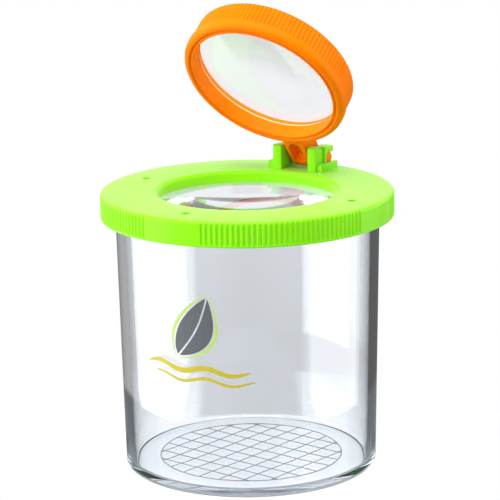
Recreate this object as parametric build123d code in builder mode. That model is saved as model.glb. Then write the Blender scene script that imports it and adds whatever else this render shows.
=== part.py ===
from build123d import *
import os
from math import cos, degrees, floor, radians, sin, sqrt

# Bug catcher jar: a clear tapered jar, a push-on lid with a lens and air holes in it,
# and a magnifier that swings on a snap hinge over the lid's window.
# Millimetres, +Z up. The origin is under the middle of the jar's foot; the hinge is at +Y.

# Jar
jar_height = 73.1
jar_mouth_diameter = 71.1
jar_base_diameter = 68.4
jar_wall = 2.3
base_thickness = 2.0
base_edge_radius = 1.4
floor_corner_radius = 1.2
rim_flange_width = 1.8
rim_flange_height = 2.2
rim_edge_radius = 0.4

# Measuring grid printed on the jar's floor
grid_diameter = 50.0
grid_cells_across = 9
grid_line_width = 0.2
grid_ink_thickness = 0.1
grid_turn = -10.0

# Lid
lid_height = 6.7
lid_plate_thickness = 2.5
lid_skirt_wall = 2.0
lid_fit_clearance = 0.15
lid_seat_gap = 0.1
lid_edge_radius = 1.0
flute_pitch = 1.39
flute_radius = 0.5
flute_depth = 0.35
flute_foot = 0.5
smooth_zone_angle = 23.0
air_hole_diameter = 2.4
air_hole_margin = 0.25
window_diameter = 48.2
window_depth = 3.2
window_edge_radius = 1.2

# Lens in the lid, pushed up into a collar under the window and held by a snap bead
lid_lens_ledge = 1.9
lid_lens_edge = 1.5
lid_lens_curve_radius = 110.0
lens_fit_clearance = 0.1
collar_wall = 1.9
snap_bead_height = 0.25
snap_bead_width = 0.8
snap_bead_gap = 0.05

# Hinge on the lid: two hooked ears, open to the rear, that the magnifier's stubs snap into
ear_setback = 2.2
pin_setback = 6.7
pin_height = 3.25
pin_diameter = 3.3
pin_clearance = 0.05
pin_mouth = 2.9
ear_gap = 8.2
ear_thickness = 2.7
ear_height = 6.9
ear_tail = 2.2
ear_root = 0.8
ear_corner_radius = 0.6
ear_post_length = 4.4
ear_post_radius = 2.6
hook_setback = 4.1
hook_drop = 0.5
hook_proud = 0.8
ear_foot_width = 1.1
ear_foot_height = 2.1
ear_foot_setback = 0.5
ear_foot_tail = 0.5

# Magnifier frame; depths run along its own axis from the hinge pin's level, and are negative in front of it
open_angle = 52.3
lip_clearance = 0.8
lip_width = 3.0
lip_height = 2.9
lip_edge_radius = 1.6
lip_front_depth = 4.8
lip_ridge_width = 0.4
lip_ridge_drop = 0.1
lip_groove_width = 0.9
lip_groove_depth = 0.65
grip_step = 0.4
frame_back_depth = 4.3
frame_back_edge_radius = 0.5
lens_lead_in = 1.0
rib_pitch = 1.22
rib_radius = 0.45
rib_depth = 0.3
ribbed_arc = 176.0
arm_side_clearance = 0.8
arm_edge_radius = 0.6
knuckle_radius = 3.0
arm_back_inset = 0.3
arm_pocket_width = 3.8
arm_pocket_length = 7.6
arm_pocket_depth = 2.6
arm_pocket_setback = 0.2
stub_chamfer = 0.3

# Lens in the magnifier frame
lens_seat_depth = -0.5
lens_ledge = 0.5
lens_edge = 2.0
lens_curve_radius = 220.0

# Jar and lid sizes that follow from these
jar_mouth_radius = jar_mouth_diameter / 2
jar_base_radius = jar_base_diameter / 2
flange_radius = jar_mouth_radius + rim_flange_width
flange_bottom = jar_height - rim_flange_height
mouth_inner_radius = jar_mouth_radius - jar_wall
floor_radius = jar_base_radius - jar_wall
skirt_inner_radius = flange_radius + lid_fit_clearance
lid_radius = skirt_inner_radius + lid_skirt_wall
plate_bottom = jar_height + lid_seat_gap
plate_top = plate_bottom + lid_plate_thickness
lid_bottom = plate_top - lid_height
window_radius = window_diameter / 2
lens_seat_level = plate_top - window_depth
lid_lens_radius = window_radius + lid_lens_ledge
collar_bore_radius = lid_lens_radius + lens_fit_clearance
collar_radius = collar_bore_radius + collar_wall
lid_bead_top = lens_seat_level - lid_lens_edge - snap_bead_gap
collar_bottom = lid_bead_top - snap_bead_width
air_hole_circle = mouth_inner_radius - air_hole_diameter / 2 - air_hole_margin
flute_step = degrees(flute_pitch / lid_radius)
flutes_per_band = floor((90 - smooth_zone_angle) / flute_step)
grid_radius = grid_diameter / 2
grid_cell = grid_diameter / grid_cells_across

# Hinge and magnifier sizes that follow from these
ear_front = window_radius + ear_setback
hinge_radius = ear_front + pin_setback
hinge_level = plate_top + pin_height
pin_radius = pin_diameter / 2
ear_outer = ear_gap / 2 + ear_thickness
hook_outer = ear_outer + hook_proud
foot_outer = hook_outer + ear_foot_width
hook_front = hook_setback - pin_setback
foot_front = ear_foot_setback - pin_setback
ear_base = -pin_height - ear_root
arm_width = ear_gap - 2 * arm_side_clearance
lip_radius = window_radius - lip_clearance
bore_radius = lip_radius - lip_width
grip_radius = lip_radius - grip_step
grip_front = lip_height - lip_front_depth
ridge_front = lip_ridge_drop - lip_front_depth
ridge_radius = bore_radius + lip_ridge_width
lens_radius = bore_radius + lens_ledge
lens_pocket_radius = lens_radius + lens_fit_clearance
lens_back = lens_seat_depth + lens_edge
frame_bead_front = lens_back + snap_bead_gap
rib_step = degrees(rib_pitch / grip_radius)
rib_count = floor(ribbed_arc / rib_step)
arm_length = hinge_radius - (lens_pocket_radius + grip_radius) / 2

# The magnifier's own frame: origin on the hinge axis, X along the pin, Z out of its back.
# It stands open by open_angle from lying flat on the lid.
swing = Plane(
    origin=(0, hinge_radius, hinge_level),
    x_dir=(1, 0, 0),
    z_dir=(0, sin(radians(open_angle)), cos(radians(open_angle))),
)
ring_centre = swing.from_local_coords(Vector(0, -hinge_radius, 0))
ring_plane = Plane(origin=ring_centre, x_dir=swing.x_dir, z_dir=swing.z_dir)
ring_section = Plane(origin=ring_centre, x_dir=swing.x_dir, z_dir=-swing.y_dir)
arm_section = Plane(origin=swing.origin, x_dir=swing.y_dir, z_dir=swing.x_dir)
ring_axis = Axis(ring_centre, swing.z_dir)
hinge_section = Plane(origin=(0, hinge_radius, hinge_level), x_dir=(0, 1, 0), z_dir=(1, 0, 0))


def lens_section(edge_radius, cap_radius, top, bottom, curve_radius):
    """Draws half a section of a lens: a flat-faced edge with a spherical cap on each side of it."""
    sag = curve_radius - sqrt(curve_radius**2 - cap_radius**2)
    TangentArc((0, top + sag), (cap_radius, top), tangent=(1, 0))
    Polyline((cap_radius, top), (edge_radius, top), (edge_radius, bottom), (cap_radius, bottom))
    TangentArc((0, bottom - sag), (cap_radius, bottom), tangent=(1, 0))
    Line((0, bottom - sag), (0, top + sag))


# Jar: drafted wall on a thick flat base; a flange round the mouth guides the lid
with BuildPart() as jar:
    with BuildSketch(Plane.XZ) as jar_profile:
        with BuildLine():
            Polyline(
                (0, 0),
                (jar_base_radius, 0),
                (jar_mouth_radius, flange_bottom),
                (flange_radius, flange_bottom),
                (flange_radius, jar_height),
                (mouth_inner_radius, jar_height),
                (floor_radius, base_thickness),
                (0, base_thickness),
                close=True,
            )
        make_face()
        foot_corner = jar_profile.vertices().group_by(Axis.Y)[0].sort_by(Axis.X)[-1]
        fillet(foot_corner, base_edge_radius)
        floor_corner = jar_profile.vertices().sort_by_distance((floor_radius, base_thickness))[0]
        fillet(floor_corner, floor_corner_radius)
        rim_corners = jar_profile.vertices().group_by(Axis.Y)[-1]
        fillet(rim_corners, rim_edge_radius)
    revolve(axis=Axis.Z)
jar.part.label = "jar"

# Measuring grid: a round field of ink lines with square cells, on the floor
with BuildPart() as measuring_grid:
    with BuildSketch(Plane.XY.offset(base_thickness)):
        Circle(grid_radius)
        with BuildSketch(mode=Mode.SUBTRACT):
            with Locations(Rotation(0, 0, grid_turn)):
                with GridLocations(grid_cell, grid_cell, grid_cells_across, grid_cells_across):
                    Rectangle(grid_cell - grid_line_width, grid_cell - grid_line_width)
            Circle(grid_radius - grid_line_width, mode=Mode.INTERSECT)
    extrude(amount=grid_ink_thickness)
measuring_grid.part.label = "measuring_grid"

# Lid: plate and skirt in one turned profile, with the lens collar under the window
with BuildPart() as lid:
    with BuildSketch(Plane.XZ) as lid_profile:
        with BuildLine():
            Polyline(
                (window_radius, plate_top),
                (lid_radius, plate_top),
                (lid_radius, lid_bottom),
                (skirt_inner_radius, lid_bottom),
                (skirt_inner_radius, plate_bottom),
                (collar_radius, plate_bottom),
                (collar_radius, collar_bottom),
                (collar_bore_radius, collar_bottom),
                (collar_bore_radius, lid_bead_top - snap_bead_width / 2),
                (lid_lens_radius - snap_bead_height, lid_bead_top - snap_bead_width / 4),
                (collar_bore_radius, lid_bead_top),
                (collar_bore_radius, lens_seat_level),
                (window_radius, lens_seat_level),
                close=True,
            )
        make_face()
        plate_corners = lid_profile.vertices().group_by(Axis.Y)[-1].sort_by(Axis.X)
        fillet(plate_corners[0], window_edge_radius)
        fillet(plate_corners[-1], lid_edge_radius)
    revolve(axis=Axis.Z)

    # Air holes at three quarters of the plate; the hinge takes the fourth
    with Locations(Plane.XY.offset(plate_top)):
        with PolarLocations(air_hole_circle, 3, start_angle=180, angular_range=270):
            Hole(air_hole_diameter / 2, depth=lid_plate_thickness)

    # Grip flutes in four bands, with a smooth zone over each air hole and the hinge
    with BuildSketch(Plane.XY.offset(lid_bottom + flute_foot)):
        for band in range(4):
            first_flute = 90 * band + 45 - (flutes_per_band - 1) / 2 * flute_step
            with PolarLocations(
                lid_radius + flute_radius - flute_depth,
                flutes_per_band,
                start_angle=first_flute,
                angular_range=(flutes_per_band - 1) * flute_step,
                endpoint=True,
            ):
                Circle(flute_radius)
    extrude(amount=lid_height, mode=Mode.SUBTRACT)

    # Hinge ears: hooks over the pin that open to the rear, rooted in the plate, with a low foot in front of each
    with BuildSketch(hinge_section.offset(ear_gap / 2), hinge_section.offset(-hook_outer)) as hook_profile:
        with Locations((hook_front, ear_base)):
            Rectangle(ear_tail - hook_front, ear_height - hook_drop + ear_root, align=(Align.MIN, Align.MIN))
        fillet(hook_profile.vertices().group_by(Axis.Y)[-1], ear_corner_radius)
        with Locations((foot_front, ear_base)):
            Rectangle(hook_front - foot_front, ear_foot_height + ear_root, align=(Align.MIN, Align.MIN))
        Circle(pin_radius + pin_clearance, mode=Mode.SUBTRACT)
        Rectangle(ear_tail, pin_mouth, align=(Align.MIN, Align.CENTER), mode=Mode.SUBTRACT)
    extrude(amount=hook_outer - ear_gap / 2)

    # A tall post at the front of each ear, with its top rounded down to the rear
    with BuildSketch(hinge_section.offset(ear_gap / 2), hinge_section.offset(-ear_outer)) as post_profile:
        with Locations((-pin_setback, ear_base)):
            Rectangle(ear_post_length, ear_height + ear_root, align=(Align.MIN, Align.MIN))
        post_corners = post_profile.vertices().group_by(Axis.Y)[-1].sort_by(Axis.X)
        fillet(post_corners[0], ear_corner_radius)
        fillet(post_corners[-1], ear_post_radius)
    extrude(amount=ear_thickness)

    # The foot runs on along the outside of each ear
    with BuildSketch(hinge_section.offset(hook_outer), hinge_section.offset(-foot_outer)):
        with Locations((foot_front, ear_base)):
            Rectangle(
                ear_tail + ear_foot_tail - foot_front,
                ear_foot_height + ear_root,
                align=(Align.MIN, Align.MIN),
            )
    extrude(amount=ear_foot_width)
lid.part.label = "lid"

# Lens in the lid: its edge bears on the seat under the window
with BuildPart() as lid_lens:
    with BuildSketch(Plane.XZ):
        with BuildLine():
            lens_section(
                lid_lens_radius,
                window_radius,
                lens_seat_level,
                lens_seat_level - lid_lens_edge,
                lid_lens_curve_radius,
            )
        make_face()
    revolve(axis=Axis.Z)
lid_lens.part.label = "lid_lens"

# Magnifier frame: the arm, a turned ring with a front lip, the grip ribs and the hinge stubs
with BuildPart() as magnifier_frame:
    with BuildSketch(arm_section):
        with BuildLine():
            Polyline(
                (0, -knuckle_radius),
                (-arm_length, -knuckle_radius),
                (-arm_length, frame_back_depth - arm_back_inset),
                (0, knuckle_radius),
            )
            ThreePointArc((0, knuckle_radius), (knuckle_radius, 0), (0, -knuckle_radius))
        make_face()
    extrude(amount=arm_width / 2, both=True)
    arm_edges = magnifier_frame.faces().filter_by(Axis.X).edges()
    fillet(arm_edges.sort_by(Axis(ring_centre, swing.y_dir))[2:], arm_edge_radius)

    with BuildSketch(ring_section) as ring_profile:
        with BuildLine():
            Polyline(
                (bore_radius, ridge_front),
                (ridge_radius, ridge_front),
                (ridge_radius + lip_groove_width / 2, lip_groove_depth - lip_front_depth),
                (ridge_radius + lip_groove_width, -lip_front_depth),
                (lip_radius, -lip_front_depth),
                (lip_radius, grip_front),
                (grip_radius, grip_front),
                (grip_radius, frame_back_depth),
                (lens_pocket_radius + lens_lead_in, frame_back_depth),
                (lens_pocket_radius, frame_back_depth - lens_lead_in),
                (lens_pocket_radius, frame_bead_front + snap_bead_width / 2),
                (lens_radius - snap_bead_height, frame_bead_front + snap_bead_width / 4),
                (lens_pocket_radius, frame_bead_front),
                (lens_pocket_radius, lens_seat_depth),
                (bore_radius, lens_seat_depth),
                close=True,
            )
        make_face()
        fillet(ring_profile.vertices().group_by(Axis.Y)[0].sort_by(Axis.X)[-1], lip_edge_radius)
        fillet(ring_profile.vertices().group_by(Axis.Y)[-1].sort_by(Axis.X)[-1], frame_back_edge_radius)
    revolve(axis=ring_axis)

    with BuildSketch(ring_plane.offset(grip_front)):
        with PolarLocations(
            grip_radius + rib_radius - rib_depth,
            rib_count,
            start_angle=-90 - (rib_count - 1) / 2 * rib_step,
            angular_range=(rib_count - 1) * rib_step,
            endpoint=True,
        ):
            Circle(rib_radius)
    extrude(amount=frame_back_depth - grip_front, mode=Mode.SUBTRACT)

    with BuildSketch(arm_section):
        Circle(pin_radius)
    extrude(amount=hook_outer, both=True)
    stub_ends = magnifier_frame.faces().filter_by(Axis.X).sort_by(Axis.X)
    chamfer(stub_ends[0].edges() + stub_ends[-1].edges(), stub_chamfer)
    with BuildSketch(swing.offset(-knuckle_radius)):
        with Locations((0, -arm_pocket_setback - arm_pocket_length / 2)):
            SlotOverall(arm_pocket_length, arm_pocket_width, rotation=90)
    extrude(amount=arm_pocket_depth, mode=Mode.SUBTRACT)
magnifier_frame.part.label = "magnifier_frame"

# Lens in the magnifier frame: put in from the back against the seat behind the bore
with BuildPart() as magnifier_lens:
    with BuildSketch(ring_section):
        with BuildLine():
            lens_section(lens_radius, bore_radius, lens_back, lens_seat_depth, lens_curve_radius)
        make_face()
    revolve(axis=ring_axis)
magnifier_lens.part.label = "magnifier_lens"

os.makedirs("parts", exist_ok=True)
for piece in (jar, measuring_grid, lid, lid_lens, magnifier_frame, magnifier_lens):
    export_step(piece.part, f"parts/{piece.part.label}.step")
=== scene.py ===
from math import asin, cos, floor, pi, radians, sin, sqrt
import bmesh
import bpy
import numpy as np
from mathutils import Matrix, Vector


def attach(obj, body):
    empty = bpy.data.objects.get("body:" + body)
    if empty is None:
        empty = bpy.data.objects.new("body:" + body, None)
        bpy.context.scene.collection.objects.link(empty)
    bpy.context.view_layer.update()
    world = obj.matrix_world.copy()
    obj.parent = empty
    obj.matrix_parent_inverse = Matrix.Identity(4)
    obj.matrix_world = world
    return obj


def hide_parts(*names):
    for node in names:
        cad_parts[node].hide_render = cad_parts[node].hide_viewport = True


# Bug catcher jar: clear tapered jar, green fluted lid with a lens in it, orange magnifier on a snap hinge.
# Sizes are in millimetres and follow the solids; points become metres where a mesh is made.
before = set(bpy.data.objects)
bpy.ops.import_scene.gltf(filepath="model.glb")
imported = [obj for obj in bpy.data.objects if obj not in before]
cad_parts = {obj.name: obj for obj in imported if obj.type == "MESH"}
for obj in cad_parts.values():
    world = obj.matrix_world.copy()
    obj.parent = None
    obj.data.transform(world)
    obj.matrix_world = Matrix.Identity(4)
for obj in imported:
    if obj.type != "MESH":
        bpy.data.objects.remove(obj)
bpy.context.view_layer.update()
MM = 0.001

# Jar
JAR_HEIGHT = 73.1
MOUTH_R = 35.55
BASE_R = 34.2
JAR_WALL = 2.3
BASE_THICK = 2.0
FLANGE_R = 37.35
FLANGE_LOW = 70.9
BASE_ROUND = 1.4
JAR_FLOOR_ROUND = 1.2
MOUTH_ROUND = 0.4
FLANGE_ROUND = 0.2

# Lid
LID_R = 39.5
LID_LOW = 69.0
PLATE_TOP = 75.7
PLATE_LOW = 73.2
PLATE_ROUND = 1.0
SKIRT_IN_R = 37.5
SKIRT_ROUND = 0.25
SKIRT_IN_ROUND = 0.2
WINDOW_R = 24.1
WINDOW_ROUND = 1.2
SEAT_Z = 72.5
COLLAR_BORE_R = 26.1
COLLAR_R = 28.0
COLLAR_LOW = 70.15
COLLAR_ROUND = 0.3
LID_LENS_R = 26.0
LID_LENS_EDGE = 1.5
LID_LENS_CURVE = 110.0
FLUTE_PITCH = 1.39
FLUTE_R = 0.5
FLUTE_DEPTH = 0.35
FLUTE_LOW = 69.5
FLUTE_FULL = 69.52
SMOOTH_ZONE = 23.0
AIR_HOLE_R = 1.2
AIR_HOLE_CIRCLE = 31.8
AIR_HOLE_TURNS = (pi, 1.5 * pi, 2 * pi)
DRILL_OVER = 2.0

# Snap beads behind the lenses, and the flat rims of the lenses
BEAD_GAP = 0.05
BEAD_HALF = 0.2
BEAD_REACH = 0.25
RIM_FLAT = 0.4
RIM_ROUND = 0.15

# Hinge: places along the lid's radius and upwards are from the pin, places along the pin from its middle
HINGE_R = 33.0
HINGE_Z = 78.95
PIN_R = 1.65
STUB_GAP = 0.1
STUB_CHAMFER = 0.3
HOOK_BORE_R = 1.7
HOOK_MOUTH = 2.9
EAR_IN = 4.1
EAR_OUT = 6.8
HOOK_OUT = 7.6
TOE_IN = 6.0
TOE_OUT = 8.0
FOOT_OUT = 8.7
POST_FRONT = -6.7
POST_BACK = -2.3
FOOT_FRONT = -6.2
HOOK_FRONT = -2.6
TOE_BACK = -2.3
EAR_TAIL = 2.2
FOOT_TAIL = 2.7
EAR_BASE = -4.05
EAR_TOP = 3.65
HOOK_TOP = 3.15
FOOT_TOP = -1.15
POST_CORNER = 2.6
EAR_CORNER = 0.6
POST_EDGE = 0.35
HOOK_EDGE = 0.25
TOE_EDGE = 0.2
FOOT_EDGE = 0.3
OUT_OF_LINE = 0.03
FOOT_LAP = 0.05

# Magnifier: depths along its axis are from the pin's level, negative in front
OPEN_ANGLE = radians(52.3)
LIP_R = 23.3
LIP_IN_R = 21.6
GROOVE_R = 21.15
RIDGE_R = 20.7
BORE_R = 20.3
GRIP_R = 22.9
LIP_FRONT = -4.8
GROOVE_FLOOR = -4.15
RIDGE_FRONT = -4.7
GRIP_FRONT = -1.9
RIBS_FRONT = -1.85
RIBS_FULL = -1.6
RING_BACK = 4.3
LIP_ROUND = 1.6
BACK_ROUND = 0.5
RING_CORNER = 0.15
GROOVE_CORNER = 0.12
GRIP_CORNER = 0.1
LENS_R = 20.8
LENS_POCKET_R = 20.9
LENS_LEAD_IN = 1.0
LENS_FRONT = -0.5
LENS_BACK = 1.5
LENS_CURVE = 220.0
EDGE_BAND_IN = 0.15
EDGE_BAND_OUT = 0.05
EDGE_BAND_END = 0.1
RIB_PITCH = 1.22
RIB_R = 0.45
RIB_DEPTH = 0.3
RIBBED_ARC = 176.0
KNUCKLE_R = 3.0
ARM_HALF = 3.3
ARM_LENGTH = 11.1
ARM_BACK = 4.0
ARM_EDGE = 0.6
POCKET_HALF = 1.9
POCKET_NEAR = -0.2
POCKET_FAR = -7.8
POCKET_FLOOR = -0.4
POCKET_EDGE = 0.5
POCKET_OVER = 2.0

# Print on the jar: the middle of the leaf, then its own sizes
PRINT_HEIGHT = 46.5
PRINT_TURN = radians(-85.0)
PRINT_R = 35.1
INK_LOW = 0.01
INK_TOP = 0.05
LEAF_LENGTH = 18.0
LEAF_HALF = 5.9
LEAF_BOW = 1.3
LEAF_LEAN = radians(-28)
VEIN_HALF = 0.25
BORDER_LENGTH = 19.2
BORDER_GAP = 0.25
STRIPE_SWING = 0.7
STRIPE_WAVE = 14.0
STRIPE_FALL = 0.05

# Fineness of the meshes: steps of a full turn, points of a groove and of the plain arcs beside grooves, and
# the longest step along a straight side
JAR_SIDES = 256
LENS_SIDES = 192
FLOOR_SIDES = 96
STUB_SIDES = 48
HOLE_SIDES = 40
GROOVE_POINTS = 10
SMOOTH_ZONE_POINTS = 13
PLAIN_RING_POINTS = 98
WALL_STEP = 6.0
ARM_STEP = 1.5

# Frames of the pieces: an origin and three directions that points are given along
SWING_X = np.array([1.0, 0.0, 0.0])
SWING_Y = np.array([0.0, cos(OPEN_ANGLE), -sin(OPEN_ANGLE)])
SWING_Z = np.array([0.0, sin(OPEN_ANGLE), cos(OPEN_ANGLE)])
PIN = np.array([0.0, HINGE_R, HINGE_Z])
UPRIGHT = (np.zeros(3), np.eye(3))
SWING = (PIN, np.array([SWING_X, SWING_Y, SWING_Z]))
RING = (PIN - HINGE_R * SWING_Y, np.array([SWING_X, SWING_Y, SWING_Z]))
PIN_LINE = (PIN, np.array([[0.0, 1.0, 0.0], [0.0, 0.0, 1.0], [1.0, 0.0, 0.0]]))
ARM_SIDE = (PIN, np.array([SWING_Y, SWING_Z, SWING_X]))


def rounded(corners, steps=6):
    """Outline through corners (x, y, radius): each corner becomes an arc that touches both of its sides."""
    spots = np.array([c[:2] for c in corners], float)
    out = []
    for i, (_, _, radius) in enumerate(corners):
        here, before, after = spots[i], spots[i - 1], spots[(i + 1) % len(corners)]
        if radius <= 0:
            out.append(here[None])
            continue
        a = (before - here) / np.linalg.norm(before - here)
        b = (after - here) / np.linalg.norm(after - here)
        half = np.arccos(np.clip(a @ b, -1, 1)) / 2
        centre = here + (a + b) / np.linalg.norm(a + b) * radius / sin(half)
        start = here + a * radius / np.tan(half) - centre
        end = here + b * radius / np.tan(half) - centre
        t = np.linspace(0, 1, steps + 1)[:, None]
        angle = pi - 2 * half
        out.append(centre + (np.sin((1 - t) * angle) * start + np.sin(t * angle) * end) / sin(angle))
    return np.concatenate(out)


def divided(outline, longest):
    """Outline with points added along its sides, evenly, so that no side is longer than longest."""
    out = []
    for a, b in zip(outline, np.roll(outline, -1, axis=0)):
        count = max(1, int(np.ceil(np.linalg.norm(b - a) / longest)))
        out.append(a + (b - a) * np.arange(count)[:, None] / count)
    return np.concatenate(out)


def grid_faces(rows, columns, wrap_rows, wrap_columns):
    """Corner numbers of the quads of a grid of points. On request the last row or column joins the first."""
    i = np.arange(rows if wrap_rows else rows - 1)[:, None]
    j = np.arange(columns if wrap_columns else columns - 1)[None]
    up, along = (i + 1) % rows, (j + 1) % columns
    quads = np.stack([i * columns + j, i * columns + along, up * columns + along, up * columns + j], -1)
    return quads.reshape(-1, 4)


def placed(points, place):
    """Points along a frame's three directions, from its origin."""
    return place[0] + points @ place[1]


def turned(profile, angles, place=UPRIGHT, limit=None):
    """Profile of (radius, height) turned about the third direction: point (i, j) is profile point i at the
    angle j. limit, if given, is the radius that point (i, j) may not pass, for grooves. A profile is a closed
    loop, or it starts and ends on the axis, where its points fall together and are merged."""
    radius = np.repeat(profile[:, :1], len(angles), axis=1)
    if limit is not None:
        radius = np.minimum(radius, limit)
    height = np.repeat(profile[:, 1:], len(angles), axis=1)
    points = np.stack([radius * np.cos(angles), radius * np.sin(angles), height], -1).reshape(-1, 3)
    return placed(points, place), grid_faces(len(profile), len(angles), True, True), []


def slab(outline, low, high, edge, place, steps=4):
    """Outline carried along the third direction from low to high. Both ends are drawn in along a quarter
    circle of radius edge, against the outline's own normals, and closed by flat faces."""
    ahead = np.roll(outline, -1, axis=0) - outline
    behind = outline - np.roll(outline, 1, axis=0)
    ahead /= np.linalg.norm(ahead, axis=1, keepdims=True)
    behind /= np.linalg.norm(behind, axis=1, keepdims=True)
    inward = np.stack([-(ahead + behind)[:, 1], (ahead + behind)[:, 0]], 1)
    inward /= (np.linalg.norm(inward, axis=1, keepdims=True) ** 2 / 2).clip(0.5)
    t = np.linspace(0, pi / 2, steps + 1)
    draw = np.concatenate([edge * (1 - np.sin(t)), edge * (1 - np.cos(t))])
    level = np.concatenate([low + edge * (1 - np.cos(t)), high - edge * (1 - np.sin(t))])
    flat = outline[None] + draw[:, None, None] * inward[None]
    points = np.concatenate([flat, np.broadcast_to(level[:, None, None], flat.shape[:2] + (1,))], -1)
    count = len(outline)
    caps = [list(range(count))[::-1], list(range(len(points) * count - count, len(points) * count))]
    return placed(points.reshape(-1, 3), place), grid_faces(len(points), count, False, True), caps


def even(steps):
    """Angles of a full turn in equal steps."""
    return np.arange(steps) * 2 * pi / steps


def circle_points(angles, radius):
    """Points (x, y) of a circle about the origin."""
    return np.stack([np.cos(angles), np.sin(angles)], 1) * radius


def finish_mesh(mesh, material, smooth_angle):
    """Smooth shading, with edges sharper than smooth_angle degrees left crisp, and one material."""
    mesh.shade_smooth()
    mesh.set_sharp_from_angle(angle=radians(smooth_angle))
    mesh.materials.clear()
    mesh.materials.append(material)


def make_piece(name, parts, material, smooth_angle=32):
    """One object from parts of (points in millimetres, quads, other faces). Points that fall together are
    merged and faces are turned outwards."""
    mesh = bpy.data.meshes.new(name)
    start, points, faces = 0, [], []
    for spots, quads, others in parts:
        points.append(spots)
        faces += (quads + start).tolist() + [[k + start for k in f] for f in others]
        start += len(spots)
    mesh.from_pydata(np.concatenate(points) * MM, [], faces)
    work = bmesh.new()
    work.from_mesh(mesh)
    bmesh.ops.remove_doubles(work, verts=work.verts, dist=1e-7)
    bmesh.ops.dissolve_degenerate(work, edges=work.edges, dist=1e-8)
    bmesh.ops.recalc_face_normals(work, faces=work.faces)
    work.to_mesh(mesh)
    work.free()
    piece = bpy.data.objects.new(name, mesh)
    bpy.context.scene.collection.objects.link(piece)
    finish_mesh(mesh, material, smooth_angle)
    return piece


def cut_out(piece, cutter, material, smooth_angle=32):
    """Takes the cutter's volume away from the piece, for good, and removes the cutter."""
    change = piece.modifiers.new("cut", "BOOLEAN")
    change.object, change.operation, change.solver = cutter, "DIFFERENCE", "EXACT"
    bpy.context.view_layer.update()
    result = bpy.data.meshes.new_from_object(piece.evaluated_get(bpy.context.evaluated_depsgraph_get()))
    piece.modifiers.clear()
    piece.data = result
    finish_mesh(result, material, smooth_angle)
    bpy.data.objects.remove(cutter)


def join_body(piece, body, node_name=None):
    """Lets the piece move with a body and, if named, stand for a solid."""
    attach(piece, body)
    if node_name:
        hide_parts(node_name)


# Materials
def linear(hex_colour):
    """An sRGB hex colour as linear red, green, blue and 1."""
    s = np.array([int(hex_colour[k : k + 2], 16) for k in (1, 3, 5)]) / 255
    return (*np.where(s <= 0.04045, s / 12.92, ((s + 0.055) / 1.055) ** 2.4), 1.0)


def node(tree, kind, inputs=None, **settings):
    """Adds one shader node: settings are its own fields, inputs fill its sockets or join them to outputs."""
    made = tree.nodes.new("ShaderNode" + kind)
    for name, value in settings.items():
        setattr(made, name, value)
    for socket, value in (inputs or {}).items():
        if isinstance(value, bpy.types.NodeSocket):
            tree.links.new(value, made.inputs[socket])
        else:
            made.inputs[socket].default_value = value
    return made


def new_material(name):
    """An empty node material and its tree."""
    material = bpy.data.materials.new(name)
    material.use_nodes = True
    material.node_tree.nodes.clear()
    return material, material.node_tree


def clear_plastic(name, colour, depth_tint, density, ior, roughness, wave_mm):
    """Clear moulded plastic. Lamps shine through it, so what stands behind it is lit. A slow swell in the
    wall, wave_mm across, bends the highlights as moulded walls do, and a tint builds up with the depth."""
    material, tree = new_material(name)
    place = node(tree, "TexCoord").outputs["Object"]
    swell = node(tree, "TexNoise", {"Vector": place, "Scale": 1 / (wave_mm * MM), "Detail": 1.0})
    swell_bump = {"Height": swell.outputs["Fac"], "Strength": 0.02, "Distance": 0.0005}
    bump = node(tree, "Bump", swell_bump).outputs["Normal"]
    look = {"Base Color": linear(colour), "Roughness": roughness, "IOR": ior, "Transmission Weight": 1.0}
    skin = node(tree, "BsdfPrincipled", look | {"Normal": bump}).outputs[0]
    shadow = node(tree, "LightPath").outputs["Is Shadow Ray"]
    clear = node(tree, "BsdfTransparent", {"Color": linear("#FBFCFD")}).outputs[0]
    through = node(tree, "MixShader", {0: shadow, 1: skin, 2: clear}).outputs[0]
    inside = node(tree, "VolumeAbsorption", {"Color": linear(depth_tint), "Density": density}).outputs[0]
    node(tree, "OutputMaterial", {"Surface": through, "Volume": inside})
    return material


def moulded_plastic(name, colour, shade, glow_mm, gloss_level, haze, roughness, flow_mm, grain_mm):
    """Coloured moulded plastic with a satin skin: light soaks in by glow_mm and softens the shaded sides, the
    colour drifts a little over flow_mm, as pigment flows, a spark-eroded grain of grain_mm breaks the gloss,
    and haze pales what is seen at a flat angle. The real grain is finer: it is drawn as coarse as it needs
    to be to show."""
    material, tree = new_material(name)
    place = node(tree, "TexCoord").outputs["Object"]
    flow = node(tree, "TexNoise", {"Vector": place, "Scale": 1 / (flow_mm * MM), "Detail": 3.0})
    grit = node(tree, "TexNoise", {"Vector": place, "Scale": 1 / (grain_mm * MM), "Detail": 2.0})
    grain = grit.outputs["Fac"]
    ramp = node(tree, "ValToRGB", {"Fac": flow.outputs["Fac"]})
    for stop, (position, tone) in zip(ramp.color_ramp.elements, ((0.3, shade), (0.7, colour))):
        stop.position = position
        stop.color = linear(tone)
    grain_levels = {"From Min": 0.3, "From Max": 0.7, "To Min": roughness - 0.05, "To Max": roughness + 0.05}
    gloss = node(tree, "MapRange", grain_levels | {"Value": grain}).outputs[0]
    bump = node(tree, "Bump", {"Height": grain, "Strength": 0.08, "Distance": 0.0001}).outputs["Normal"]
    look = {
        "Base Color": ramp.outputs["Color"],
        "Roughness": gloss,
        "Normal": bump,
        "IOR": 1.49,
        "Specular IOR Level": gloss_level,
        "Sheen Weight": haze,
        "Sheen Tint": linear("#FFFFC4"),
        "Sheen Roughness": 0.35,
        "Subsurface Weight": 0.06,
        "Subsurface Radius": [depth * MM for depth in glow_mm],
        "Subsurface Scale": 1.0,
    }
    skin = node(tree, "BsdfPrincipled", look).outputs[0]
    node(tree, "OutputMaterial", {"Surface": skin})
    return material


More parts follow.
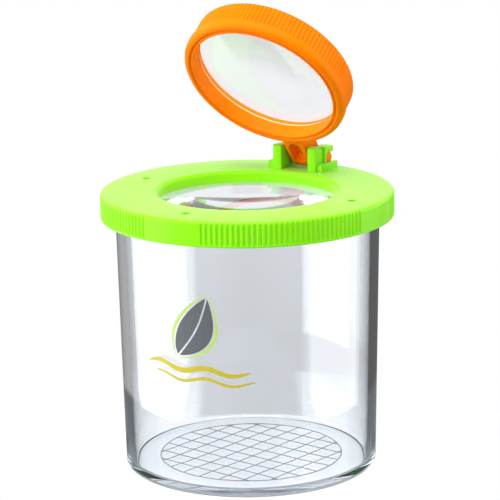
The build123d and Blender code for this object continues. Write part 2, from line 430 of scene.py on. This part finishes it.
def matt_skin(name, colour, thin, speck_mm):
    """A matt skin, as of printed ink or ground plastic, with fine specks of speck_mm where it is thinner. The
    real specks are finer: they are drawn as coarse as they need to be to show."""
    material, tree = new_material(name)
    place = node(tree, "TexCoord").outputs["Object"]
    speck = node(tree, "TexNoise", {"Vector": place, "Scale": 1 / (speck_mm * MM), "Detail": 2.0})
    ramp = node(tree, "ValToRGB", {"Fac": speck.outputs["Fac"]})
    for stop, (position, tone) in zip(ramp.color_ramp.elements, ((0.35, thin), (0.6, colour))):
        stop.position = position
        stop.color = linear(tone)
    look = {"Base Color": ramp.outputs["Color"], "Roughness": 0.55, "IOR": 1.5}
    skin = node(tree, "BsdfPrincipled", look).outputs[0]
    node(tree, "OutputMaterial", {"Surface": skin})
    return material


# Polystyrene, injection moulded: hard and clear, with sharp highlights and dark, slightly blue edges
polystyrene = clear_plastic(
    "clear_polystyrene_moulded",
    "#FAFCFF",
    depth_tint="#DCE4EC",
    density=16.0,
    ior=1.57,
    roughness=0.01,
    wave_mm=18.0,
)
# Acrylic, moulded and polished: clearer still and smoother, so that it bends the view without a tint
acrylic = clear_plastic(
    "lens_acrylic_polished",
    "#FBFCFF",
    depth_tint="#E4ECF0",
    density=8.0,
    ior=1.49,
    roughness=0.0,
    wave_mm=40.0,
)
# Green polypropylene, injection moulded: a satin skin that pales where it is seen at a flat angle
green = moulded_plastic(
    "green_polypropylene_moulded",
    "#8AE800",
    "#85E200",
    glow_mm=(0.4, 1.5, 0.1),
    gloss_level=0.2,
    haze=0.55,
    roughness=0.36,
    flow_mm=9.0,
    grain_mm=0.35,
)
# Orange polypropylene, injection moulded: a duller satin skin, with warm light in its shaded sides
orange = moulded_plastic(
    "orange_polypropylene_moulded",
    "#FF8000",
    "#FC7A00",
    glow_mm=(2.0, 0.4, 0.1),
    gloss_level=0.05,
    haze=0.0,
    roughness=0.4,
    flow_mm=9.0,
    grain_mm=0.35,
)
# Acrylic, ground: a milky edge, painted pale orange for the light that the orange ring round it casts into it
frosted_painted_ring_glow = matt_skin("acrylic_ground_edge_painted_ring_glow", "#FFC98A", "#FFC27C", speck_mm=0.4)
# Inks, screen printed: flat and matt, a little paler where they lie thin
black_ink = matt_skin("black_ink_screen_print", "#3A4144", "#4A5154", speck_mm=0.4)
slate_ink = matt_skin("slate_ink_screen_print", "#52585C", "#5C6266", speck_mm=0.4)
lime_ink = matt_skin("lime_ink_screen_print", "#ACCB5E", "#B6D270", speck_mm=0.4)
yellow_ink = matt_skin("yellow_ink_screen_print", "#B8AC14", "#C0B52E", speck_mm=0.4)


# Jar: turned wall and base, closed on the axis
jar_profile = rounded(
    [
        (0, 0, 0),
        (BASE_R, 0, BASE_ROUND),
        (MOUTH_R, FLANGE_LOW, 0),
        (FLANGE_R, FLANGE_LOW, FLANGE_ROUND),
        (FLANGE_R, JAR_HEIGHT, MOUTH_ROUND),
        (MOUTH_R - JAR_WALL, JAR_HEIGHT, MOUTH_ROUND),
        (BASE_R - JAR_WALL, BASE_THICK, JAR_FLOOR_ROUND),
        (0, BASE_THICK, 0),
    ],
    steps=8,
)
jar = make_piece("jar_wall", [turned(divided(jar_profile, WALL_STEP), even(JAR_SIDES))], polystyrene)
join_body(jar, "jar", "jar")

# Measuring grid: the solid's own ink lines, on the floor
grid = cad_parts["measuring_grid"]
grid.data.materials.clear()
grid.data.materials.append(black_ink)


# Lid: turned plate and skirt, with flutes in four bands between smooth zones
def groove_band(count, step):
    """Angles of a band of count grooves, one each step, about zero."""
    return (np.arange(count * GROOVE_POINTS + 1) / GROOVE_POINTS - count / 2) * step


def groove_depth(angles, last, step, count, pitch, radius, depth):
    """How deep the surface lies at each angle, in a band of count grooves that ends at last. A groove has a
    round section: its depth is the height of a circle at the distance from the groove's middle line. Outside
    the band that distance is a whole pitch, where no groove reaches."""
    inside = (np.mod(angles / step + count / 2, 1) - 0.5) * pitch
    offset = np.where(angles <= last, inside, pitch)
    return np.clip(np.sqrt(np.clip(radius**2 - offset**2, 0, None)) - (radius - depth), 0, None)


flute_step = FLUTE_PITCH / LID_R
flutes = floor(radians(90 - SMOOTH_ZONE) / flute_step)
band = groove_band(flutes, flute_step)
smooth_zone = np.linspace(band[-1], pi / 2 + band[0], SMOOTH_ZONE_POINTS)[1:-1]
quarter = np.concatenate([band, smooth_zone])
lid_angles = np.concatenate([quarter + pi / 4 + k * pi / 2 for k in range(4)])
lid_grooves = groove_depth(quarter, band[-1], flute_step, flutes, FLUTE_PITCH, FLUTE_R, FLUTE_DEPTH)
lid_bead = SEAT_Z - LID_LENS_EDGE - BEAD_GAP
lid_profile = rounded(
    [
        (WINDOW_R, PLATE_TOP, WINDOW_ROUND),
        (WINDOW_R, SEAT_Z, 0),
        (COLLAR_BORE_R, SEAT_Z, 0),
        (COLLAR_BORE_R, lid_bead, 0),
        (LID_LENS_R - BEAD_REACH, lid_bead - BEAD_HALF, 0),
        (COLLAR_BORE_R, lid_bead - 2 * BEAD_HALF, 0),
        (COLLAR_BORE_R, COLLAR_LOW, 0),
        (COLLAR_R, COLLAR_LOW, COLLAR_ROUND),
        (COLLAR_R, PLATE_LOW, COLLAR_ROUND),
        (SKIRT_IN_R, PLATE_LOW, COLLAR_ROUND),
        (SKIRT_IN_R, LID_LOW, SKIRT_IN_ROUND),
        (LID_R, LID_LOW, SKIRT_ROUND),
        (LID_R, FLUTE_LOW, 0),
        (LID_R, FLUTE_FULL, 0),
        (LID_R, PLATE_TOP, PLATE_ROUND),
    ],
    steps=7,
)
fluted = lid_profile[:, 1:] > (FLUTE_LOW + FLUTE_FULL) / 2
lid_limit = np.where(fluted, LID_R - np.tile(lid_grooves, 4)[None], LID_R)
lid = make_piece("lid_shell", [turned(lid_profile, lid_angles, limit=lid_limit)], green)
drill_low = PLATE_LOW - DRILL_OVER
drill_high = PLATE_TOP + DRILL_OVER
drill = np.array([(0, drill_low), (AIR_HOLE_R, drill_low), (AIR_HOLE_R, drill_high), (0, drill_high)])
for hole_turn in AIR_HOLE_TURNS:
    middle = np.array([cos(hole_turn), sin(hole_turn), 0.0]) * AIR_HOLE_CIRCLE
    cut_out(lid, make_piece("drill", [turned(drill, even(HOLE_SIDES), (middle, np.eye(3)))], green), green)
join_body(lid, "lid", "lid")

# Hinge ears, mirrored to both sides: a post in front, a hook over the pin, and a low foot round the outside
# that a toe joins to the post. Shells that cross are a hair out of line, so that no faces lie in one plane.
mouth_angle = asin(HOOK_MOUTH / 2 / HOOK_BORE_R)
hook_corners = [
    (EAR_TAIL, HOOK_TOP, EAR_CORNER),
    (HOOK_FRONT, HOOK_TOP, EAR_CORNER),
    (HOOK_FRONT, EAR_BASE, 0),
    (EAR_TAIL, EAR_BASE, 0),
]
hook_outline = np.concatenate(
    [
        [(EAR_TAIL, -HOOK_MOUTH / 2)],
        circle_points(np.linspace(-mouth_angle, mouth_angle - 2 * pi, 33), HOOK_BORE_R),
        [(EAR_TAIL, HOOK_MOUTH / 2)],
        rounded(hook_corners),
    ]
)
post_outline = rounded(
    [
        (POST_BACK, EAR_BASE, 0),
        (POST_BACK, EAR_TOP, POST_CORNER),
        (POST_FRONT, EAR_TOP, EAR_CORNER),
        (POST_FRONT, EAR_BASE, 0),
    ]
)


def foot_outline(front, back, top):
    """A low block's side view, with its upper edges rounded."""
    upper = [(back, top, FOOT_EDGE), (front, top, FOOT_EDGE)]
    return rounded([(back, EAR_BASE, 0), *upper, (front, EAR_BASE, 0)])


toe = foot_outline(FOOT_FRONT + OUT_OF_LINE, TOE_BACK, FOOT_TOP - OUT_OF_LINE)
foot = foot_outline(FOOT_FRONT, FOOT_TAIL, FOOT_TOP)
ear_parts = []
for mirror in (1, -1):
    outward = (PIN, np.array([[0.0, 1.0, 0.0], [0.0, 0.0, 1.0], [mirror, 0.0, 0.0]]))
    ear_parts += [
        slab(post_outline, EAR_IN, EAR_OUT, POST_EDGE, outward),
        slab(hook_outline, EAR_IN + OUT_OF_LINE, HOOK_OUT, HOOK_EDGE, outward),
        slab(toe, TOE_IN, TOE_OUT, TOE_EDGE, outward),
        slab(foot, HOOK_OUT - FOOT_LAP, FOOT_OUT, FOOT_EDGE, outward),
    ]
ears = make_piece("hinge_ears", ear_parts, green)
join_body(ears, "lid")


def lens_profile(edge_r, cap_r, top, bottom, curve):
    """Section of a lens with a flat rim and a spherical cap on each side: height falls as the sphere does."""
    r = np.linspace(0, cap_r, 33)
    fall = np.sqrt(curve**2 - r**2) - sqrt(curve**2 - cap_r**2)
    upper = np.stack([r, top + fall], 1)
    lower = np.stack([r, bottom - fall], 1)[::-1]
    rim_corners = [
        (edge_r - RIM_FLAT, top, 0),
        (edge_r, top, RIM_ROUND),
        (edge_r, bottom, RIM_ROUND),
        (edge_r - RIM_FLAT, bottom, 0),
    ]
    return np.concatenate([upper, rounded(rim_corners, 3), lower])


lid_lens_profile = lens_profile(LID_LENS_R, WINDOW_R, SEAT_Z, SEAT_Z - LID_LENS_EDGE, LID_LENS_CURVE)
lid_lens = make_piece("lid_window_lens", [turned(lid_lens_profile, even(LENS_SIDES))], acrylic)
join_body(lid_lens, "lid", "lid_lens")

# Magnifier ring: turned profile with a rounded lip, a groove and a ridge in front, ribbed over its far half
rib_step = RIB_PITCH / GRIP_R
ribs = floor(radians(RIBBED_ARC) / rib_step)
ribbed = groove_band(ribs, rib_step)
plain_arc = np.linspace(ribbed[-1], 2 * pi + ribbed[0], PLAIN_RING_POINTS)[1:-1]
ring_angles = np.concatenate([ribbed, plain_arc])
ring_grooves = groove_depth(ring_angles, ribbed[-1], rib_step, ribs, RIB_PITCH, RIB_R, RIB_DEPTH)
ring_bead = LENS_BACK + BEAD_GAP
ring_profile = rounded(
    [
        (BORE_R, RIDGE_FRONT, RING_CORNER),
        (RIDGE_R, RIDGE_FRONT, RING_CORNER),
        (GROOVE_R, GROOVE_FLOOR, GROOVE_CORNER),
        (LIP_IN_R, LIP_FRONT, RING_CORNER),
        (LIP_R, LIP_FRONT, LIP_ROUND),
        (LIP_R, GRIP_FRONT, RING_CORNER),
        (GRIP_R, GRIP_FRONT, GRIP_CORNER),
        (GRIP_R, RIBS_FULL, 0),
        (GRIP_R, RING_BACK, BACK_ROUND),
        (LENS_POCKET_R + LENS_LEAD_IN, RING_BACK, RING_CORNER),
        (LENS_POCKET_R, RING_BACK - LENS_LEAD_IN, 0),
        (LENS_POCKET_R, ring_bead + 2 * BEAD_HALF, 0),
        (LENS_R - BEAD_REACH, ring_bead + BEAD_HALF, 0),
        (LENS_POCKET_R, ring_bead, 0),
        (LENS_POCKET_R, LENS_FRONT, 0),
        (BORE_R, LENS_FRONT, 0),
    ],
    steps=7,
)
gripped = ring_profile[:, 1:] > RIBS_FRONT
ring_limit = np.where(gripped, GRIP_R - ring_grooves[None], LIP_R)
ring = make_piece("magnifier_ring", [turned(ring_profile, ring_angles - pi / 2, RING, ring_limit)], orange)
join_body(ring, "magnifier", "magnifier_frame")

# Magnifier arm: rounded bar with a cored pocket in front, a knuckle at its end and a stub each side
arm_outline = np.concatenate(
    [
        [(-ARM_LENGTH, ARM_BACK), (-ARM_LENGTH, -KNUCKLE_R)],
        circle_points(np.linspace(-pi / 2, pi / 2, 17), KNUCKLE_R),
    ]
)
arm_bar = slab(divided(arm_outline, ARM_STEP), -ARM_HALF, ARM_HALF, ARM_EDGE, ARM_SIDE)
arm = make_piece("magnifier_arm", [arm_bar], orange)
half_slot = circle_points(np.linspace(0, pi, 13), POCKET_HALF)
slot_outline = np.concatenate(
    [half_slot + (0, POCKET_NEAR - POCKET_HALF), -half_slot + (0, POCKET_FAR + POCKET_HALF)]
)
pocket_block = slab(slot_outline, -KNUCKLE_R - POCKET_OVER, POCKET_FLOOR, POCKET_EDGE, SWING)
cut_out(arm, make_piece("pocket", [pocket_block], orange), orange)
stub_out = HOOK_OUT - STUB_GAP
stub_end = [(PIN_R, stub_out - STUB_CHAMFER), (PIN_R - STUB_CHAMFER, stub_out), (0, stub_out)]
stub_profile = np.array([(r, -x) for r, x in stub_end[::-1]] + stub_end)
stubs = make_piece("magnifier_stubs", [turned(stub_profile, even(STUB_SIDES), PIN_LINE)], orange)
for piece in (arm, stubs):
    join_body(piece, "magnifier")

magnifier_profile = lens_profile(LENS_R, BORE_R, LENS_BACK, LENS_FRONT, LENS_CURVE)
magnifier_lens = make_piece("magnifier_glass", [turned(magnifier_profile, even(LENS_SIDES), RING)], acrylic)
join_body(magnifier_lens, "magnifier", "magnifier_lens")

# Ground edge of the magnifier's lens: a frosted band just inside its rim, that hides what is behind the rim.
# Its pale orange is painted light, the glow of the orange ring round it
edge_profile = np.array(
    [
        (LENS_R - EDGE_BAND_IN, LENS_FRONT + EDGE_BAND_END),
        (LENS_R - EDGE_BAND_OUT, LENS_FRONT + EDGE_BAND_END),
        (LENS_R - EDGE_BAND_OUT, LENS_BACK - EDGE_BAND_END),
        (LENS_R - EDGE_BAND_IN, LENS_BACK - EDGE_BAND_END),
    ]
)
ground_edge = make_piece("magnifier_glass_edge", [turned(edge_profile, even(LENS_SIDES), RING)], frosted_painted_ring_glow)
join_body(ground_edge, "magnifier")


# Print on the jar's side: a leaf and stripes in thin ink that follow the tapered wall
def on_wall(across, up, lift):
    """Points of a drawing, across and up in millimetres, laid round the jar's tapered wall and lift proud."""
    z = PRINT_HEIGHT + up
    radius = BASE_R + (MOUTH_R - BASE_R) * z / FLANGE_LOW + lift
    angle = PRINT_TURN + across / PRINT_R
    return np.stack([radius * np.cos(angle), radius * np.sin(angle), z], -1).reshape(-1, 3)


def ink_patch(across, up):
    """A patch of ink on a grid of drawing points: a thin closed sheet, with a layer on the wall and one
    above it."""
    rows, columns = across.shape
    faces = grid_faces(rows, columns, False, False)
    count = rows * columns
    numbers = np.arange(count).reshape(rows, columns)
    rim = np.concatenate([numbers[0, :-1], numbers[:-1, -1], numbers[-1, :0:-1], numbers[:0:-1, 0]])
    border = np.stack([rim, np.roll(rim, -1), np.roll(rim, -1) + count, rim + count], 1)
    points = np.concatenate([on_wall(across, up, INK_LOW), on_wall(across, up, INK_TOP)])
    return points, np.concatenate([faces[:, ::-1], faces + count, border]), []


def leaf_band(inner, outer, gap, length, way):
    """Half a leaf, or half a line round it, on a grid: t runs along the bowed midrib, and s from inner to
    outer of the leaf's half width there, with gap added outside. The half width is a sine along the leaf,
    made blunt and drawn to one end by its powers. way is 1 or -1, for the halves. The whole leaf leans."""
    t = np.linspace(0.0, 1.0, 61)[:, None]
    s = np.linspace(0.0, 1.0, 7)[None]
    width = LEAF_HALF * np.sin(pi * t**0.85) ** 0.8
    near = np.maximum(width * inner, VEIN_HALF)
    far = np.maximum(width * outer + gap, near)
    x = way * (near + (far - near) * s) + LEAF_BOW * np.sin(pi * t)
    y = length * (t - 0.5) + 0 * s
    return x * cos(LEAF_LEAN) - y * sin(LEAF_LEAN), x * sin(LEAF_LEAN) + y * cos(LEAF_LEAN)


def stripe(height, thick, start, end):
    """A wavy stripe: its middle line swings as a sine along its length and falls a little, and its ends taper
    to points, as a low power of a sine."""
    t = np.linspace(0.0, 1.0, 121)[:, None]
    s = np.linspace(-0.5, 0.5, 4)[None]
    x = start + (end - start) * t
    middle_line = height + STRIPE_SWING * np.sin(2 * pi * x / STRIPE_WAVE) - STRIPE_FALL * x
    return x + 0 * s, middle_line + thick * s * np.sin(pi * t) ** 0.35


leaf_parts = []
border_parts = []
for way in (1, -1):
    leaf_half = leaf_band(inner=0.0, outer=0.8, gap=0.0, length=LEAF_LENGTH, way=way)
    border_half = leaf_band(inner=0.88, outer=1.0, gap=BORDER_GAP, length=BORDER_LENGTH, way=way)
    leaf_parts.append(ink_patch(*leaf_half))
    border_parts.append(ink_patch(*border_half))
stripe_parts = [
    ink_patch(*stripe(height=-11.6, thick=1.5, start=-15.0, end=15.5)),
    ink_patch(*stripe(height=-14.4, thick=0.9, start=-12.0, end=17.0)),
]
for name, parts, ink in (
    ("leaf_print", leaf_parts, slate_ink),
    ("leaf_border_print", border_parts, lime_ink),
    ("stripe_print", stripe_parts, yellow_ink),
):
    join_body(make_piece(name, parts, ink), "jar")


# Camera, fitted to the photograph: 666 mm out and 223 mm up, with a long lens, 30 degrees round the jar
CAMERA_OUT = 0.6659
CAMERA_UP = 0.2233
CAMERA_TURN = radians(30)
YAW = 0.0008
PITCH = radians(13.87)
ROLL = -0.0158
SENSOR = 36.0
FOCAL_PIXELS = 2539
PICTURE_PIXELS = 500
ahead = np.array([sin(YAW) * cos(PITCH), cos(YAW) * cos(PITCH), -sin(PITCH)])
level_right = np.array([cos(YAW), -sin(YAW), 0.0])
level_up = np.cross(level_right, ahead)
right = cos(ROLL) * level_right + sin(ROLL) * level_up
up = cos(ROLL) * level_up - sin(ROLL) * level_right
about = np.array(
    [[cos(CAMERA_TURN), -sin(CAMERA_TURN), 0.0], [sin(CAMERA_TURN), cos(CAMERA_TURN), 0.0], [0.0, 0.0, 1.0]]
)
pose = np.eye(4)
pose[:3, :3] = about @ np.stack([right, up, -ahead], 1)
pose[:3, 3] = about @ np.array([0.0, -CAMERA_OUT, CAMERA_UP])
lens_data = bpy.data.cameras.new("camera")
lens_data.sensor_width = SENSOR
lens_data.lens = SENSOR * FOCAL_PIXELS / PICTURE_PIXELS
camera = bpy.data.objects.new("camera", lens_data)
scene = bpy.context.scene
scene.collection.objects.link(camera)
camera.matrix_world = Matrix(pose)
scene.camera = camera

# Directions of the stage: out from the jar to the camera's side, and to the picture's right
FRONT = tuple(about @ (0.0, -1.0, 0.0))
RIGHT = tuple(about @ (1.0, 0.0, 0.0))


def gradients(tree, known, rows):
    """Adds numbers to a tree by name. Each row (name, of, low, high, start, end) gives one that goes smoothly
    from start to end as the number called of goes from low to high. Start and end are fixed numbers or the
    names of earlier ones."""
    for name, of, low, high, start, end in rows:
        given = {"Value": known[of], "From Min": low, "From Max": high}
        wanted = {"To Min": known.get(start, start), "To Max": known.get(end, end)}
        known[name] = node(tree, "MapRange", given | wanted, interpolation_type="SMOOTHSTEP").outputs[0]
    return known


# Stage: a paper floor that fades into the white background. What is seen through the jar meets a grey panel
# on the floor behind it. What reflects in the jar's wall sees the floor dim to the sides, as black cards
# beside a clear jar would show there, to draw its edges. In the rows of gradients, places are in metres and
# levels are parts of the picture's white.
PANEL_LEVEL = 0.78
FLOOR_R = 86.0
FLOOR_RING_R = 40.0
FLOOR_TOP = -0.2
FLOOR_LOW = -2.0
floor_material, floor_tree = new_material("white_paper_floor")
floor_path = node(floor_tree, "LightPath").outputs
floor_place = node(floor_tree, "TexCoord").outputs["Object"]
across = node(floor_tree, "VectorMath", {0: floor_place, 1: RIGHT}, operation="DOT_PRODUCT").outputs["Value"]
floor_tones = gradients(
    floor_tree,
    {
        "aside": node(floor_tree, "Math", {0: across}, operation="ABSOLUTE").outputs[0],
        "nearer": node(
            floor_tree, "VectorMath", {0: floor_place, 1: FRONT}, operation="DOT_PRODUCT"
        ).outputs["Value"],
        "away": node(floor_tree, "VectorMath", {0: floor_place}, operation="LENGTH").outputs["Value"],
        "passes": floor_path["Transmission Depth"],
        "mirrors": floor_path["Glossy Depth"],
    },
    [
        ("fade", "away", 0.03, 0.08, 0.7, 1.0),
        ("middle", "aside", 0.014, 0.019, 1.0, 0.0),
        ("behind", "nearer", -0.042, -0.034, "middle", 0.0),
        ("panel", "passes", 0.0, 1.0, 0.0, "behind"),
        ("cards", "aside", 0.02, 0.05, 0.55, 0.1),
        ("mirrored", "mirrors", 0.0, 1.0, 0.0, 0.92),
    ],
)
paper = node(floor_tree, "BsdfDiffuse", {"Color": linear("#FAFAFA")}).outputs[0]
white = node(floor_tree, "Emission", {"Strength": 1.0}).outputs[0]
grey = node(floor_tree, "Emission", {"Strength": PANEL_LEVEL}).outputs[0]
dim = node(floor_tree, "Emission", {"Color": linear("#E0EAF4"), "Strength": floor_tones["cards"]}).outputs[0]
lit = node(floor_tree, "MixShader", {0: floor_tones["fade"], 1: paper, 2: white}).outputs[0]
beyond = node(floor_tree, "MixShader", {0: floor_tones["panel"], 1: lit, 2: grey}).outputs[0]
seen = node(floor_tree, "MixShader", {0: floor_tones["mirrored"], 1: beyond, 2: dim}).outputs[0]
node(floor_tree, "OutputMaterial", {"Surface": seen})
floor_rim = [(FLOOR_RING_R, FLOOR_TOP), (FLOOR_R, FLOOR_TOP), (FLOOR_R, FLOOR_LOW)]
disc = np.array([(0.0, FLOOR_TOP), *floor_rim, (0.0, FLOOR_LOW)])
make_piece("paper_floor", [turned(disc, even(FLOOR_SIDES))], floor_material)

# World: white where the camera sees it. Through clear plastic it is a pale backdrop, with grey low down in
# the middle, where the panel on the floor goes on. In reflections it is a studio: bright behind and above,
# dim in front, and below a table that is darker to the right. For all else it is an even, weaker light.
world = bpy.data.worlds.new("studio")
scene.world = world
world.use_nodes = True
world_tree = world.node_tree
world_tree.nodes.clear()
world_path = node(world_tree, "LightPath").outputs
ray = node(world_tree, "TexCoord").outputs["Generated"]
side = node(world_tree, "VectorMath", {0: ray, 1: RIGHT}, operation="DOT_PRODUCT").outputs["Value"]
world_tones = gradients(
    world_tree,
    {
        "side": side,
        "off_middle": node(world_tree, "Math", {0: side}, operation="ABSOLUTE").outputs[0],
        "front": node(world_tree, "VectorMath", {0: ray, 1: FRONT}, operation="DOT_PRODUCT").outputs["Value"],
        "rise": node(world_tree, "SeparateXYZ", {0: ray}).outputs["Z"],
        "passes": world_path["Transmission Depth"],
        "mirrors": world_path["Glossy Depth"],
        "camera": world_path["Is Camera Ray"],
    },
    [
        ("low_backdrop", "off_middle", 0.044, 0.056, PANEL_LEVEL, 0.94),
        ("backdrop", "rise", -0.28, -0.15, "low_backdrop", 0.97),
        ("table", "side", -0.5, 0.15, 0.42, 0.11),
        ("room", "front", -0.2, 0.6, 1.0, 0.15),
        ("studio", "rise", -0.06, 0.1, "table", "room"),
        ("through", "passes", 0.0, 1.0, 0.45, "backdrop"),
        ("reflected", "mirrors", 0.0, 1.0, "through", "studio"),
        ("strength", "camera", 0.0, 1.0, "reflected", 1.0),
    ],
)
sky_look = {"Color": linear("#FFFFFF"), "Strength": world_tones["strength"]}
sky = node(world_tree, "Background", sky_look).outputs[0]
node(world_tree, "OutputWorld", {"Surface": sky})

LAMP_AIM = 0.06


def soft_lamp(name, width, height, power, bearing, distance, level):
    """A soft lamp of width by height, in metres, that faces the jar. Bearing is in degrees from the camera's
    side of the jar to its right, distance is out from the jar's axis and level is up."""
    data = bpy.data.lights.new(name, "AREA")
    data.shape, data.size, data.size_y, data.energy = "RECTANGLE", width, height, power
    lamp = bpy.data.objects.new(name, data)
    scene.collection.objects.link(lamp)
    way = cos(radians(bearing)) * np.array(FRONT) + sin(radians(bearing)) * np.array(RIGHT)
    spot = way * distance + (0, 0, level)
    facing = Vector(spot - (0, 0, LAMP_AIM)).to_track_quat("Z", "Y")
    lamp.matrix_world = Matrix.Translation(spot) @ facing.to_matrix().to_4x4()
    lamp.visible_camera = False


soft_lamp("left_softbox", width=0.80, height=0.68, power=4.5, bearing=-88, distance=0.62, level=0.12)
soft_lamp("right_softbox", width=0.72, height=0.68, power=2.5, bearing=84, distance=0.62, level=0.12)
soft_lamp("overhead_softbox", width=0.6, height=0.5, power=5.5, bearing=-15, distance=0.25, level=0.75)
soft_lamp("front_softbox", width=0.6, height=0.4, power=2.0, bearing=-50, distance=0.7, level=0.42)

scene.view_settings.view_transform = "Standard"
# Light passes many clear walls on its way through the lenses and the jar, so it needs many bounces
scene.cycles.max_bounces = 24
scene.cycles.transmission_bounces = 24
scene.cycles.glossy_bounces = 12
scene.cycles.transparent_max_bounces = 24
